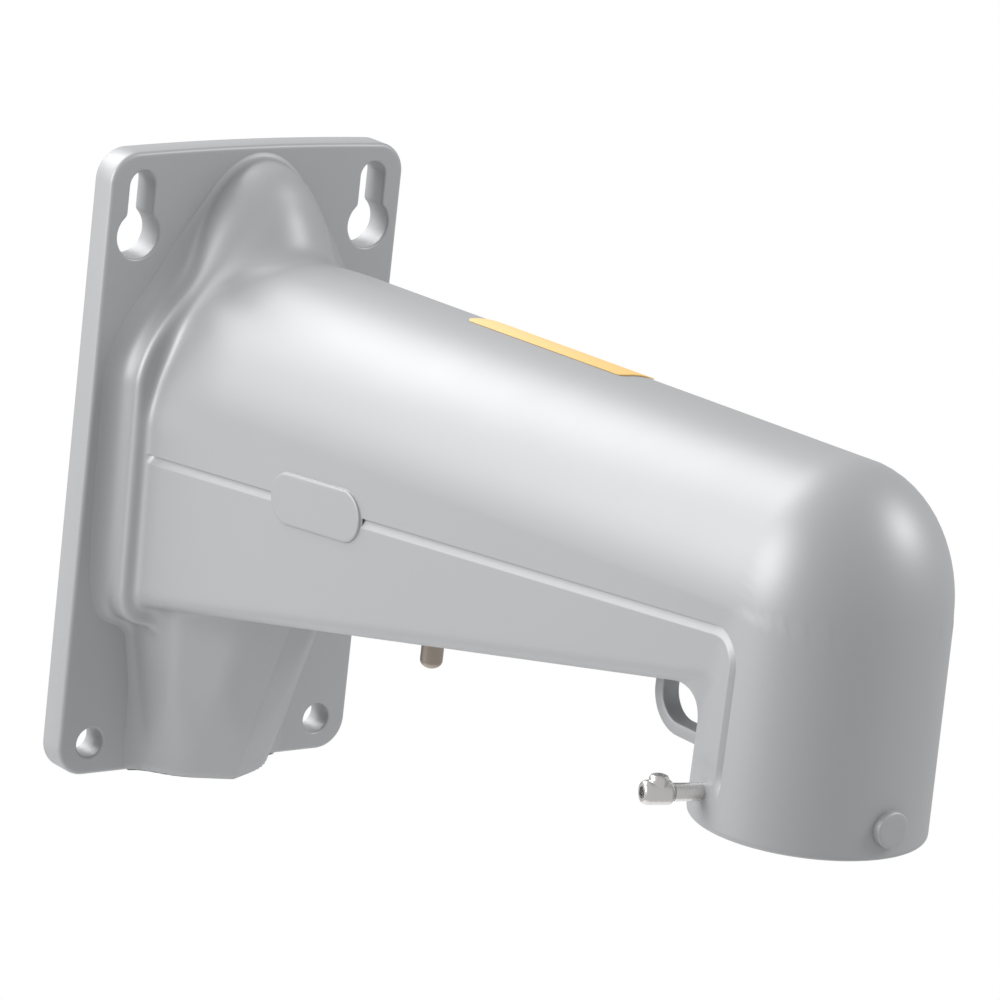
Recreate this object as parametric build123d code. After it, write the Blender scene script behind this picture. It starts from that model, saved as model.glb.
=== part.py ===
# Wall bracket for a pan, tilt and zoom camera: a hollow aluminium casting with its screws and sticker.
# Millimetres. +Z is up, the wall is the plane Y = 0 and the arm reaches out along -Y.
# The origin is the centre of the wall face of the plate.
import os
from math import atan2, cos, pi, radians, sin, sqrt, tan
from build123d import *

# Wall plate
PLATE_W = 100.0
PLATE_H = 182.6
PLATE_T = 8.8
PLATE_CORNER = 9.0
PLATE_TOP_RISE = 1.2
PLATE_EDGE_ROUND = 1.2
HOLE_EDGE = 10.4
KEYHOLE_DROP = 23.4
KEYHOLE_R = 6.9
KEYHOLE_SLOT_R = 4.1
KEYHOLE_SLOT_DROP = 5.0
LOWER_HOLE_RISE = 9.6
LOWER_HOLE_R = 4.4
KEYHOLE_BLEND = 2.0

# Pedestal that carries the arm on the plate; heights are measured from the foot of the plate
PEDESTAL_DEPTH = 9.6
PEDESTAL_HALF = 41.0
PEDESTAL_FOOT_HALF = 39.6
PEDESTAL_FOOT = 46.5
PEDESTAL_FOOT_ROUND = 9.0
PEDESTAL_ARCH_POWER = 1.176
PEDESTAL_COVE = 4.4
PEDESTAL_RIM = 3.2
NECK_INSET = 1.7
NECK_LENGTH = 9.0
LOBE_LIFT = 21.0
LOBE_HALF = 19.0
LOBE_REACH = 26.0
LOBE_SHARPNESS = 4.5
LOBE_FALL = 1.4
LOBE_STEP = 0.4
NECK_RUN = 28.0
NECK_STEPS = 7
COVE_CROWN_SHARE = 0.6
ARCH_STEPS = 8

# Arm, from the front of the pedestal to the axis of the tube
REACH = 305.8
ARM_HALF_ROOT = 38.0
ARM_HALF_TIP = 30.0
ARM_SPRING_ROOT = 118.0
ARM_SPRING_TIP = 126.0
ARM_ARCH_RISE = 38.1
ARM_FOOT_HALF_ROOT = 33.4
ARM_FOOT_HALF_TIP = 28.5
ARM_FOOT_ROOT = 52.7
ARM_FOOT_TIP = 105.4
ARM_FOOT_ROUND = 4.0
ARM_WALL = 4.0

# Tube that hangs from the end of the arm and takes the camera
TUBE_R = 30.9
TUBE_FOOT = 68.0
TUBE_DRAFT = 0.7
TUBE_RIM_ROUND = 1.5
TUBE_TOP = 124.0
DOME_PROUD = 0.2
SOCKET_R = 22.4
SOCKET_LENGTH = 24.0
CORE_STEP = 1.4
DOME_WALL = 6.2

# Cable duct below the arm
DUCT_FOOT_HALF = 23.4
DUCT_FOOT_RIDGE = 18.6
DUCT_FOOT_DEPTH = 26.2
DUCT_TOP = 66.0
DUCT_TOP_HALF = 39.0
DUCT_TOP_RIDGE = 47.0
DUCT_TOP_DEPTH = 54.0
DUCT_RIDGE_HALF = 12.5
DUCT_WALL = 3.6

# Groove and badge pad on the sides
GROOVE_W = 3.4
GROOVE_DEPTH = 1.0
GROOVE_ROOT_Y = -21.5
GROOVE_ROOT_RISE = 97.9
GROOVE_SLOPE = 5.07
GROOVE_BEND = 9.0
GROOVE_FOOT_RISE = 80.0
BADGE_BACK = 175.5
BADGE_LENGTH = 40.0
BADGE_H = 14.4
BADGE_PROUD = 0.7

# Small features of the casting
BOSS_R = 4.8
BOSS_PROUD = 2.0
FASTENING_RISE = 8.6
LOCK_ANGLE = 106.0
LAND_DEPTH = 0.6
LAND_TOP = 84.0
LOOP_W = 5.6
LOOP_STRAP = 3.6
LOOP_SPAN = 32.0
LOOP_FOOT_RISE = 75.2
LOOP_ROUND = 11.0
LUG_BACK = 162.5

# Screws, pin and sticker
LOCK_SHANK_R = 2.35
LOCK_STAND_OFF = 8.2
LOCK_HEAD_R = 3.2
LOCK_HEAD_LENGTH = 8.0
LOCK_HEX = 3.0
LOCK_HEX_DEPTH = 2.6
LOCK_HEAD_ROUND = 1.0
PIN_ROUND = 1.6
STICKER_ROUND = 2.0
OVERCUT = 1.0
SMALL = 0.05
THREAD_CLEARANCE = 0.1
PIN_R = 3.15
PIN_BELOW = 12.0
PIN_GRIP = 3.6
STICKER_LENGTH = 69.0
STICKER_W = 12.0
STICKER_T = 0.3
STICKER_GLUE = 0.1
STICKER_CENTRE_X = 4.5
STICKER_BACK = 127.3

# Places that follow from the sizes above; the distances named BACK run from the axis of the tube to the wall
TUBE_Y = TUBE_R - REACH
PEDESTAL_FRONT_Y = -(PLATE_T + PEDESTAL_DEPTH)
RIM_START = PEDESTAL_DEPTH - PEDESTAL_RIM
RIM_START_Y = -(PLATE_T + RIM_START)
TAPER_START_Y = PEDESTAL_FRONT_Y - NECK_RUN
HOLE_X = PLATE_W / 2 - HOLE_EDGE
KEYHOLE_RISE = PLATE_H - KEYHOLE_DROP
KEYHOLE_SLOT_TOP = PLATE_H - KEYHOLE_SLOT_DROP
BADGE_CENTRE_Y = TUBE_Y + BADGE_BACK
LOOP_OUT_Y = TUBE_Y + TUBE_R + LOOP_SPAN
LUG_Y = TUBE_Y + LUG_BACK
STICKER_CENTRE_Y = TUBE_Y + STICKER_BACK


def up(rise):
    """Height in the part's frame of a point that lies `rise` above the foot of the plate."""
    return rise - PLATE_H / 2


def mix(a, b, t):
    return a + (b - a) * t


def arm_share(y):
    """0 at the front of the pedestal, 1 at the axis of the tube."""
    return (y - PEDESTAL_FRONT_Y) / (TUBE_Y - PEDESTAL_FRONT_Y)


def arm_foot(y):
    """Height of the arm's underside above the foot of the plate."""
    return mix(ARM_FOOT_ROOT, ARM_FOOT_TIP, arm_share(y))


def arm_spring(y):
    """Height at which the arm's side wall turns into its arch."""
    return mix(ARM_SPRING_ROOT, ARM_SPRING_TIP, arm_share(y))


def arm_half(y):
    return mix(ARM_HALF_ROOT, ARM_HALF_TIP, arm_share(y))


def arm_foot_half(y):
    return mix(ARM_FOOT_HALF_ROOT, ARM_FOOT_HALF_TIP, arm_share(y))


def bell_section(y, half, foot_half, spring, foot, rise, power, lift, foot_round):
    """Upright section across the arm: an arch with a lobe on its crown, leaning sides and a flat foot."""
    arch = []
    for i in range(ARCH_STEPS + 1):
        turn = i * pi / (2 * ARCH_STEPS)
        x = half * max(cos(turn), 0.0) ** power
        z = spring + rise * sin(turn) ** power
        lobe = lift / (1 + (x / LOBE_HALF) ** LOBE_SHARPNESS)
        arch.append((x, up(z + lobe * sin(turn))))
    arch[-1] = (0.0, arch[-1][1])
    lean = atan2(spring - foot, half - foot_half)
    tangent = foot_round / tan(lean / 2)
    low = (foot_half - tangent, up(foot))
    high = (foot_half + tangent * cos(lean), up(foot) + tangent * sin(lean))
    swing = (pi - lean) / 2 - pi / 2
    knee = (low[0] + foot_round * cos(swing), up(foot) + foot_round * (1 + sin(swing)))
    with BuildSketch(Plane.XZ.offset(-y)) as sketch:
        with BuildLine():
            Spline(*(arch + [(-x, z) for x, z in reversed(arch[:-1])]))
            Line(arch[0], high)
            ThreePointArc(high, knee, low)
            Line(low, (-low[0], low[1]))
            ThreePointArc((-low[0], low[1]), (-knee[0], knee[1]), (-high[0], high[1]))
            Line((-high[0], high[1]), (-arch[0][0], arch[0][1]))
        make_face()
    return sketch.sketch.face()


def pedestal_section(depth, grow=0.0, rim=0.0, wall=0.0):
    """Section of the pedestal, `depth` in front of the plate, widened by `grow` or drawn in by the rest."""
    inset = rim + wall - grow
    return bell_section(
        -(PLATE_T + depth),
        PEDESTAL_HALF - inset,
        PEDESTAL_FOOT_HALF - inset,
        ARM_SPRING_ROOT,
        PEDESTAL_FOOT + inset,
        ARM_ARCH_RISE + grow * COVE_CROWN_SHARE - wall,
        PEDESTAL_ARCH_POWER,
        LOBE_LIFT,
        PEDESTAL_FOOT_ROUND,
    )


def arm_section(y, wall=0.0):
    """Section of the arm; near the pedestal it is necked in and carries the falling lobe."""
    ahead = PEDESTAL_FRONT_Y - y
    neck = NECK_INSET * max(0.0, 1 - ahead / NECK_LENGTH) ** 2
    fall = min(ahead / LOBE_REACH, 1.0)
    lift = (LOBE_LIFT - LOBE_STEP) * (1 - fall**2) ** LOBE_FALL
    power = mix(PEDESTAL_ARCH_POWER, 1.0, fall)
    return bell_section(
        y,
        arm_half(y) - neck - wall,
        arm_foot_half(y) - neck - wall,
        arm_spring(y),
        arm_foot(y) + wall,
        ARM_ARCH_RISE - wall,
        power,
        lift,
        ARM_FOOT_ROUND,
    )


def plate():
    """Wall plate with round corners, a slightly arched top and a rounded front edge."""
    left, right = -PLATE_W / 2, PLATE_W / 2
    with BuildPart() as part:
        with BuildSketch(Plane.XZ):
            with BuildLine():
                Polyline((left, up(PLATE_H)), (left, up(0)), (right, up(0)), (right, up(PLATE_H)))
                ThreePointArc((right, up(PLATE_H)), (0, up(PLATE_H + PLATE_TOP_RISE)), (left, up(PLATE_H)))
            make_face()
            fillet(vertices(), PLATE_CORNER)
        extrude(amount=PLATE_T)
        fillet(part.faces().sort_by(Axis.Y)[0].outer_wire().edges(), PLATE_EDGE_ROUND)
    return part.part


def side_half(y, rise):
    """Half width of the arm on its leaning side, at a height above the foot of the plate."""
    share = (rise - arm_foot(y)) / (arm_spring(y) - arm_foot(y))
    return mix(arm_foot_half(y), arm_half(y), share)


def pedestal():
    """Pedestal in three lofts: a cove at the plate, a straight wall and a rounded rim."""
    shares = [i / 4 for i in range(5)]
    cove = [pedestal_section(PEDESTAL_COVE * s, grow=PEDESTAL_COVE * (1 - s) ** 2) for s in shares]
    turns = [s * pi / 2 for s in shares]
    steps = [(PEDESTAL_RIM * sin(a), PEDESTAL_RIM * (1 - cos(a))) for a in turns]
    rim = [pedestal_section(RIM_START + ahead, rim=inset) for ahead, inset in steps]
    wall = [pedestal_section(PEDESTAL_COVE), pedestal_section(RIM_START)]
    return loft(cove) + loft(wall, ruled=True) + loft(rim)


def arm(wall=0.0):
    """Arm in two lofts: the curved neck with its lobe, then the straight taper to the tube."""
    step = NECK_RUN / NECK_STEPS
    neck = [arm_section(PEDESTAL_FRONT_Y - step * i, wall) for i in range(NECK_STEPS + 1)]
    taper = [arm_section(TAPER_START_Y, wall), arm_section(TUBE_Y, wall)]
    return loft(neck) + loft(taper, ruled=True)


def turned(profile, angle=360):
    """Solid turned about the axis of the tube from a face drawn in radius and height."""
    solid = revolve(Plane.XZ * profile, Axis.Z, revolution_arc=angle)
    return Pos(0, TUBE_Y, up(0)) * Rot(0, 0, -angle if angle < 360 else 0) * solid


def half_dome(half, foot, crown):
    """Front half of a dome of elliptic outline that closes the end of the arm."""
    rise = crown - ARM_SPRING_TIP
    arch = [(half * cos(i * pi / 16), ARM_SPRING_TIP + rise * sin(i * pi / 16)) for i in range(8)]
    with BuildSketch() as profile:
        with BuildLine():
            Polyline((0, crown), (0, foot), (half, foot), arch[0])
            Spline(*arch, (0, crown), tangents=[(0, 1), (-1, 0)])
        make_face()
    return turned(profile.sketch, 180)


def tube():
    """Drafted tube with a rounded rim at its foot, under the front half of a dome."""
    waist = TUBE_R - TUBE_DRAFT
    rim = TUBE_R - TUBE_RIM_ROUND
    with BuildSketch() as profile:
        with BuildLine():
            Polyline((waist, TUBE_TOP), (0, TUBE_TOP), (0, TUBE_FOOT), (rim, TUBE_FOOT))
            RadiusArc((rim, TUBE_FOOT), (TUBE_R, TUBE_FOOT + TUBE_RIM_ROUND), -TUBE_RIM_ROUND)
            Line((TUBE_R, TUBE_FOOT + TUBE_RIM_ROUND), (waist, TUBE_TOP))
        make_face()
    crown = ARM_SPRING_TIP + ARM_ARCH_RISE + DOME_PROUD
    return turned(profile.sketch) + half_dome(waist, TUBE_TOP, crown)


def duct(wall=0.0, below=0.0, behind=0.0):
    """Cable duct below the arm: two level sections, each with straight flanks and a bowed nose."""
    sections = []
    for rise, half, ridge, depth in (
        (0.0, DUCT_FOOT_HALF, DUCT_FOOT_RIDGE, DUCT_FOOT_DEPTH),
        (DUCT_TOP, DUCT_TOP_HALF, DUCT_TOP_RIDGE, DUCT_TOP_DEPTH),
    ):
        side = half - wall
        edge = DUCT_RIDGE_HALF - wall / 2
        with BuildSketch(Plane.XY.offset(up(rise))) as sketch:
            with BuildLine():
                Polyline((edge, wall - ridge), (side, -PLATE_T), (side, behind - PLATE_T / 2))
                Line((side, behind - PLATE_T / 2), (-side, behind - PLATE_T / 2))
                Polyline((-side, behind - PLATE_T / 2), (-side, -PLATE_T), (-edge, wall - ridge))
                ThreePointArc((-edge, wall - ridge), (0, wall - depth), (edge, wall - ridge))
            make_face()
        sections.append(sketch.sketch.face())
    body = loft(sections, ruled=True)
    if below:
        body = body + extrude(sections[0], below, dir=(0, 0, -1))
    return body


def core():
    """Hollow of the casting: open at the wall, along the arm and down through the tube."""
    mouth = [pedestal_section(depth, wall=ARM_WALL) for depth in (-PLATE_T - OVERCUT, RIM_START)]
    throat = [arm_section(RIM_START_Y, ARM_WALL), arm_section(PEDESTAL_FRONT_Y, ARM_WALL)]
    bore = SOCKET_R - CORE_STEP
    top_of_socket = TUBE_FOOT + SOCKET_LENGTH
    floor = ARM_FOOT_TIP + ARM_WALL
    room = TUBE_R - TUBE_DRAFT - DOME_WALL
    with BuildSketch() as profile:
        with BuildLine():
            Polyline(
                (0, TUBE_TOP),
                (0, TUBE_FOOT - OVERCUT),
                (SOCKET_R, TUBE_FOOT - OVERCUT),
                (SOCKET_R, top_of_socket),
                (bore, top_of_socket + CORE_STEP),
                (bore, floor),
                (room, floor + room - bore),
                (room, TUBE_TOP),
                close=True,
            )
        make_face()
    hollow = loft(mouth, ruled=True) + loft(throat, ruled=True) + arm(ARM_WALL)
    hollow = hollow + turned(profile.sketch) + duct(DUCT_WALL, below=OVERCUT, behind=PLATE_T)
    return hollow + half_dome(room, TUBE_TOP, ARM_SPRING_TIP + ARM_ARCH_RISE - DOME_WALL)


def groove():
    """V-shaped cutter along the left side of the arm that bends and runs down the tube."""
    corner_rise = GROOVE_ROOT_RISE + (GROOVE_ROOT_Y - TUBE_Y) * tan(radians(GROOVE_SLOPE))
    root_x = -side_half(GROOVE_ROOT_Y, GROOVE_ROOT_RISE)
    corner_x = TUBE_DRAFT - TUBE_R
    run = sqrt((GROOVE_ROOT_Y - TUBE_Y) ** 2 + (corner_x - root_x) ** 2)
    side = Plane(
        origin=(root_x, GROOVE_ROOT_Y, up(0)),
        x_dir=(corner_x - root_x, TUBE_Y - GROOVE_ROOT_Y, 0),
        z_dir=(TUBE_Y - GROOVE_ROOT_Y, root_x - corner_x, 0),
    )
    with BuildLine(side) as path:
        FilletPolyline(
            (0, GROOVE_ROOT_RISE), (run, corner_rise), (run, GROOVE_FOOT_RISE), radius=GROOVE_BEND
        )
    spread = GROOVE_W / 2 * (1 + OVERCUT / GROOVE_DEPTH)
    start = path.line @ 0
    with BuildSketch(Plane(origin=start, x_dir=side.z_dir, z_dir=path.line % 0)) as vee:
        with BuildLine():
            Polyline((-GROOVE_DEPTH, 0), (OVERCUT, spread), (OVERCUT, -spread), close=True)
        make_face()
    return sweep(vee.sketch, path.line)


def badge():
    """Bare raised pad with round ends on the left side of the arm, in line with the groove."""
    slope = radians(GROOVE_SLOPE)
    rise = GROOVE_ROOT_RISE + (GROOVE_ROOT_Y - BADGE_CENTRE_Y) * tan(slope)
    centre = Vector(-side_half(BADGE_CENTRE_Y, rise), BADGE_CENTRE_Y, up(rise))
    ahead = BADGE_CENTRE_Y - BADGE_LENGTH
    ahead_rise = rise + BADGE_LENGTH * tan(slope)
    along = Vector(-side_half(ahead, ahead_rise), ahead, up(ahead_rise)) - centre
    above = rise + BADGE_H
    lean = Vector(-side_half(BADGE_CENTRE_Y, above), BADGE_CENTRE_Y, up(above)) - centre
    face = Plane(origin=centre, x_dir=along, z_dir=along.cross(lean))
    pad = SlotOverall(BADGE_LENGTH, BADGE_H)
    return face * (extrude(pad, BADGE_PROUD) + extrude(pad, -ARM_WALL / 2))


def loop():
    """Flat strap that closes a loop between the arm's underside and the back of the tube."""
    top = arm_foot(LOOP_OUT_Y) + ARM_WALL / 2
    inner = LOOP_OUT_Y - LOOP_STRAP
    end = TUBE_Y + (SOCKET_R + TUBE_R) / 2
    outer_bend = LOOP_FOOT_RISE + LOOP_ROUND
    with BuildSketch(Plane.YZ.offset(-LOOP_W / 2)) as strap:
        with BuildLine():
            Line((LOOP_OUT_Y, up(top)), (LOOP_OUT_Y, up(outer_bend)))
            RadiusArc((LOOP_OUT_Y, up(outer_bend)), (LOOP_OUT_Y - LOOP_ROUND, up(LOOP_FOOT_RISE)), LOOP_ROUND)
            Polyline(
                (LOOP_OUT_Y - LOOP_ROUND, up(LOOP_FOOT_RISE)),
                (end, up(LOOP_FOOT_RISE)),
                (end, up(LOOP_FOOT_RISE + LOOP_STRAP)),
                (LOOP_OUT_Y - LOOP_ROUND, up(LOOP_FOOT_RISE + LOOP_STRAP)),
            )
            RadiusArc(
                (LOOP_OUT_Y - LOOP_ROUND, up(LOOP_FOOT_RISE + LOOP_STRAP)),
                (inner, up(outer_bend)),
                LOOP_STRAP - LOOP_ROUND,
            )
            Polyline((inner, up(outer_bend)), (inner, up(top)), (LOOP_OUT_Y, up(top)))
        make_face()
    return extrude(strap.sketch, LOOP_W)


def keyhole(x):
    """Cutter for one hanging hole: a round hole that narrows into a slot above it."""
    top = KEYHOLE_SLOT_TOP - KEYHOLE_SLOT_R
    with BuildSketch(Plane.XZ.offset(-OVERCUT)) as outline:
        with Locations((x, up(KEYHOLE_RISE))):
            Circle(KEYHOLE_R)
        with Locations((x, up((KEYHOLE_RISE + top) / 2))):
            Rectangle(2 * KEYHOLE_SLOT_R, top - KEYHOLE_RISE)
        with Locations((x, up(top))):
            Circle(KEYHOLE_SLOT_R)
        shoulder = sqrt(KEYHOLE_R**2 - KEYHOLE_SLOT_R**2)
        corners = [v for v in outline.vertices() if abs(v.Z - up(KEYHOLE_RISE + shoulder)) < SMALL]
        fillet(corners, KEYHOLE_BLEND)
    return extrude(outline.sketch, PLATE_T + 2 * OVERCUT)


def fastening(side):
    """Plane on the axis of the tube that looks out along the lock screw of one side."""
    turn = radians(LOCK_ANGLE)
    level = up(TUBE_FOOT + FASTENING_RISE)
    return Plane(origin=(0, TUBE_Y, level), x_dir=(0, 0, 1), z_dir=(side * sin(turn), -cos(turn), 0))


def rod(plane, radius, start, end):
    """Round bar along the normal of a plane, from one distance to another."""
    return plane.offset(start) * Cylinder(radius, end - start, align=(Align.CENTER, Align.CENTER, Align.MIN))


def land(side):
    """Cutter for the flat seat around a lock screw."""
    low, high = -FASTENING_RISE - OVERCUT, LAND_TOP - TUBE_FOOT - FASTENING_RISE
    seat = Rectangle(high - low, TUBE_R, align=(Align.CENTER, Align.CENTER))
    block = Pos((low + high) / 2, 0, 0) * seat
    return fastening(side).offset(TUBE_R - LAND_DEPTH) * extrude(block, LAND_DEPTH + OVERCUT)


def pin_plane():
    """Plane at the underside of the arm that looks down along the pin."""
    return Plane(origin=(0, LUG_Y, up(arm_foot(LUG_Y))), z_dir=(0, 0, -1))


def casting():
    """The whole aluminium casting."""
    body = plate() + pedestal() + arm() + tube() + duct() + loop() + badge()
    boss = Plane(origin=(0, TUBE_Y, up(TUBE_FOOT + FASTENING_RISE)), z_dir=(0, -1, 0))
    body = body + rod(boss, BOSS_R, SOCKET_R + CORE_STEP, TUBE_R + BOSS_PROUD)
    body = body - core()
    cutter = groove()
    body = body - cutter - mirror(cutter, Plane.YZ)
    for side in (-1, 1):
        body = body - keyhole(side * HOLE_X)
        hole = Plane(origin=(side * HOLE_X, OVERCUT, up(LOWER_HOLE_RISE)), z_dir=(0, -1, 0))
        body = body - rod(hole, LOWER_HOLE_R, 0, PLATE_T + 2 * OVERCUT)
        body = body - land(side)
        body = body - rod(fastening(side), LOCK_SHANK_R + THREAD_CLEARANCE, SOCKET_R / 2, TUBE_R)
    return body - rod(pin_plane(), PIN_R, -PIN_GRIP, PIN_BELOW)


def lock_screw(side):
    """Lock screw: a shank in the wall of the tube and a round head with a hexagon socket."""
    seat = TUBE_R - LAND_DEPTH
    neck = seat + LOCK_STAND_OFF
    outer = neck + LOCK_HEAD_LENGTH
    plane = fastening(side)
    shank = rod(plane, LOCK_SHANK_R, SOCKET_R, neck)
    head = rod(plane, LOCK_HEAD_R, neck, outer)
    head = fillet(head.edges().filter_by(GeomType.CIRCLE), LOCK_HEAD_ROUND)
    hexagon = plane.offset(outer - LOCK_HEX_DEPTH) * extrude(RegularPolygon(LOCK_HEX / 2, 6, False), LOCK_HEX)
    return shank + head - hexagon


def pin():
    """Round pin in the underside of the arm with a rounded lower end."""
    bar = rod(pin_plane(), PIN_R, -PIN_GRIP, PIN_BELOW)
    end = bar.edges().sort_by(Axis.Z)[0]
    return fillet(end, PIN_ROUND)


def sticker():
    """Thin sticker with round corners that lies over the crown of the arm."""
    over, under = -STICKER_GLUE - STICKER_T, -STICKER_GLUE
    skin = loft([arm_section(TUBE_Y, over), arm_section(TAPER_START_Y, over)], ruled=True)
    glue = loft([arm_section(TUBE_Y, under), arm_section(TAPER_START_Y, under)], ruled=True)
    outline = RectangleRounded(STICKER_W, STICKER_LENGTH, STICKER_ROUND)
    middle = Pos(STICKER_CENTRE_X, STICKER_CENTRE_Y, up(ARM_SPRING_TIP))
    return (skin - glue) & extrude(middle * outline, ARM_ARCH_RISE + ARM_WALL)


if __name__ == "__main__":
    os.makedirs("parts", exist_ok=True)
    export_step(casting(), "parts/casting.step")
    export_step(lock_screw(-1), "parts/lock_screw_left.step")
    export_step(lock_screw(1), "parts/lock_screw_right.step")
    export_step(pin(), "parts/pin.step")
    export_step(sticker(), "parts/sticker.step")
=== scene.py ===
# %% [markdown]
# This scene dresses a wall bracket for a pan, tilt and zoom camera. The real bracket is one thin aluminium
# casting, painted light grey, with two steel lock screws, a pin and a sticker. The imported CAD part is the
# fixed frame: it says where everything is, and each piece made here stands where its CAD node stands.

import math

import bmesh
import bpy
import numpy as np
from mathutils import Matrix, Vector
from mathutils.geometry import delaunay_2d_cdt


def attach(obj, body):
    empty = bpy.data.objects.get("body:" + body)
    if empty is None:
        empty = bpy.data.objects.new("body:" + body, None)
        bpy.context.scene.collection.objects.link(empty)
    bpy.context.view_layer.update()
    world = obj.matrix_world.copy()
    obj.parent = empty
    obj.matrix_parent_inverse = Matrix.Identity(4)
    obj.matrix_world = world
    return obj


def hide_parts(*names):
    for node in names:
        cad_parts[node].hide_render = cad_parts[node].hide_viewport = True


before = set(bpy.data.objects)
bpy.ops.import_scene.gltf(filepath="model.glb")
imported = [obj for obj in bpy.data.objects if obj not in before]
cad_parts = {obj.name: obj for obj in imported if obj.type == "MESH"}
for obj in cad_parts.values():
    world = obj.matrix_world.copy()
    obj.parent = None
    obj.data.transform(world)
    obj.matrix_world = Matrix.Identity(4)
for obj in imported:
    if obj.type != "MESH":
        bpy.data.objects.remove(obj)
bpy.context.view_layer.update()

# %% [markdown]
# All shapes are worked out in millimetres: x to the right, y into the wall, z up from the foot of the plate.
# The frame is in metres and its origin is the centre of the plate. A grid of points becomes a mesh of quads,
# with each of its rows closed into a ring.

# %% Mesh helpers
PLATE_H = 182.6


def to_frame(points):
    """Millimetres with z above the plate's foot, turned into metres about the centre of the plate."""
    return (np.asarray(points, float) - [0, 0, PLATE_H / 2]) * 0.001


def make_object(name, verts, faces, material, smooth=True):
    """A mesh object on the root body, from points in millimetres and the corners of its faces."""
    mesh = bpy.data.meshes.new(name)
    mesh.from_pydata(to_frame(verts).reshape(-1, 3), [], faces)
    mesh.materials.append(material)
    mesh.polygons.foreach_set("use_smooth", np.full(len(mesh.polygons), smooth))
    mesh.update()
    piece = bpy.data.objects.new(name, mesh)
    bpy.context.scene.collection.objects.link(piece)
    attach(piece, "root")
    return piece


def grid_faces(rows, columns):
    """Corners of the quads of a grid, with its last column joined to the first."""
    row, column = np.meshgrid(np.arange(rows - 1), np.arange(columns), indexing="ij")
    here, after = row * columns + column, row * columns + (column + 1) % columns
    quads = np.stack([here, after, after + columns, here + columns], -1)
    return quads.reshape(-1, 4).tolist()


def unit(vectors):
    """Vectors of length 1 in the same directions."""
    return vectors / np.linalg.norm(vectors, axis=-1, keepdims=True)


def turned_points(profile, around=48):
    """Surface of a turned part: each (radius, height) of the profile carried round the axis."""
    radius, height = np.array(profile, float).T[:, :, None]
    angle = np.linspace(0, 2 * np.pi, around, endpoint=False)
    x, y = radius * np.cos(angle), radius * np.sin(angle)
    return np.stack([x, y, np.broadcast_to(height, x.shape)], -1)


# %% [markdown]
# The finishes are procedural. Shader sums are written as Python expressions: the class wraps a socket, and
# adding to it or multiplying it makes a Math node.

# %% A small class for shader sums
class Sum:
    """A socket that can be added to and multiplied in Python."""

    def __init__(self, tree, socket):
        self.tree = tree
        self.socket = socket

    def node(self, kind, settings=None, output=0, **values):
        """An output of a new node. Its inputs are given by name, or by number as i0, i1 and so on."""
        made = self.tree.nodes.new(kind)
        for key, value in (settings or {}).items():
            setattr(made, key, value)
        for key, value in values.items():
            entry = made.inputs[int(key[1:]) if key[0] == "i" else key]
            if isinstance(value, Sum):
                self.tree.links.new(value.socket, entry)
            else:
                entry.default_value = value
        return Sum(self.tree, made.outputs[output])

    def __add__(self, other):
        return self.node("ShaderNodeMath", {"operation": "ADD"}, i0=self, i1=other)

    def __mul__(self, other):
        return self.node("ShaderNodeMath", {"operation": "MULTIPLY"}, i0=self, i1=other)


def new_material(name, **constants):
    """A material with its shader's constants set, its object coordinates and its shader."""
    material = bpy.data.materials.new(name)
    material.use_nodes = True
    shader = material.node_tree.nodes["Principled BSDF"]
    for key, value in constants.items():
        shader.inputs[key.replace("_", " ")].default_value = value
    place = material.node_tree.nodes.new("ShaderNodeTexCoord")
    return material, Sum(material.node_tree, place.outputs["Object"]), shader


def noise(where, scale, detail=2.0):
    """Noise on object coordinates, from about 0 to 1."""
    return where.node("ShaderNodeTexNoise", Vector=where, Scale=scale, Detail=detail)


def colour_mix(where, share, dark, light):
    """A colour between two others by a share."""
    return where.node("ShaderNodeMix", {"data_type": "RGBA"}, 2, i0=share, i6=(*dark, 1), i7=(*light, 1))


def bump(where, scale, strength, distance, detail=2.0):
    """Normals tilted by a noise; the distance is in metres."""
    height = noise(where, scale, detail)
    return where.node("ShaderNodeBump", Height=height, Strength=strength, Distance=distance)


def feed(shader, socket, value):
    """Links a sum to a named socket of the shader."""
    value.tree.links.new(value.socket, shader.inputs[socket])


# %% [markdown]
# The casting has a light grey powder coat with a silky sheen. A very fine noise in the bump gives the skin of
# the paint, and broad faint ones vary its colour and sheen.

# %% Paint of the casting
paint, at, shader = new_material("grey_powder_coat", Metallic=0.28, IOR=1.5)
feed(shader, "Base Color", colour_mix(at, noise(at, 9.0), (0.365, 0.37, 0.38), (0.385, 0.39, 0.40)))
feed(shader, "Roughness", noise(at, 60.0) * 0.05 + 0.45)
feed(shader, "Normal", bump(at, 2600.0, 0.05, 0.0002, 3.0))
print("paint", paint.name)

# %% [markdown]
# The outside of the casting is one flowing skin: plate, raised pedestal, lobe, arm, elbow, tube and cable
# duct melt into each other. Each form is written as a field: a number that is negative inside it, positive
# outside and about the distance in millimetres from its surface. Forms are joined by a soft minimum, which
# rounds the corner between them. Names in ROOT belong to the arm at the pedestal's face, names in TIP to the
# axis of the tube.

# %% Soft minimum and maximum, and the dimensions of the casting
PLATE_T = 8.8
PED_Y = -18.4
TUBE_R, TUBE_Y, TUBE_FOOT = 30.9, -274.9, 68.0
SPRING_ROOT, SPRING_TIP, ARCH_RISE = 118.0, 126.0, 38.1
HALF_ROOT, HALF_TIP = 38.0, 30.0
FOOT_HALF_ROOT, FOOT_HALF_TIP = 36.4, 28.5
FOOT_ROOT, FOOT_TIP = 52.7, 105.4


def soft_max(a, b, reach):
    """The larger of two fields, with the corner between them rounded over about the reach."""
    share = np.clip(0.5 + 0.5 * (a - b) / reach, 0, 1)
    return b + (a - b) * share + reach * share * (1 - share)


def soft_min(a, b, reach):
    return -soft_max(-a, -b, reach)


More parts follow.
